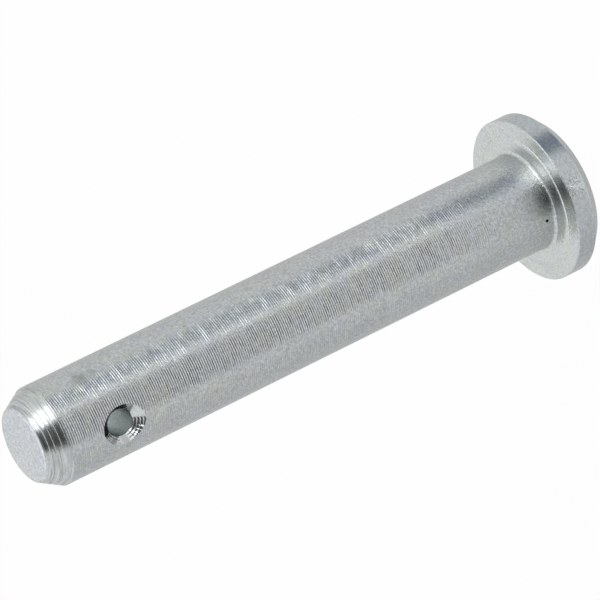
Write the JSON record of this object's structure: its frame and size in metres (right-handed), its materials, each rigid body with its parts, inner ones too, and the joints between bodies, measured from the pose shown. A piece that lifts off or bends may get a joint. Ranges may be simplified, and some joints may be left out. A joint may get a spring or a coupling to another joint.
{
  "type": "clevis pin",
  "caption": "Round steel pin with a flat chamfered head, a tapered tip and a countersunk cross hole for a cotter, used to join a clevis to an eye or rod end.",
  "frame": {"origin": "centre of the seat, the raised ring under the head that bears on the clevis; the head's top is 4.1 mm below it", "axes": "+Z along the pin's axis from the head to the tip, so the pin stands on its head; +X along the cotter hole, which is the same from both sides"},
  "size_m": [0.02, 0.02, 0.0741],
  "materials": {
    "zinc_plated_steel": "satin"
  },
  "bodies": {
    "root": {"clevis_pin": "zinc_plated_steel"}
  },
  "joints": []
}
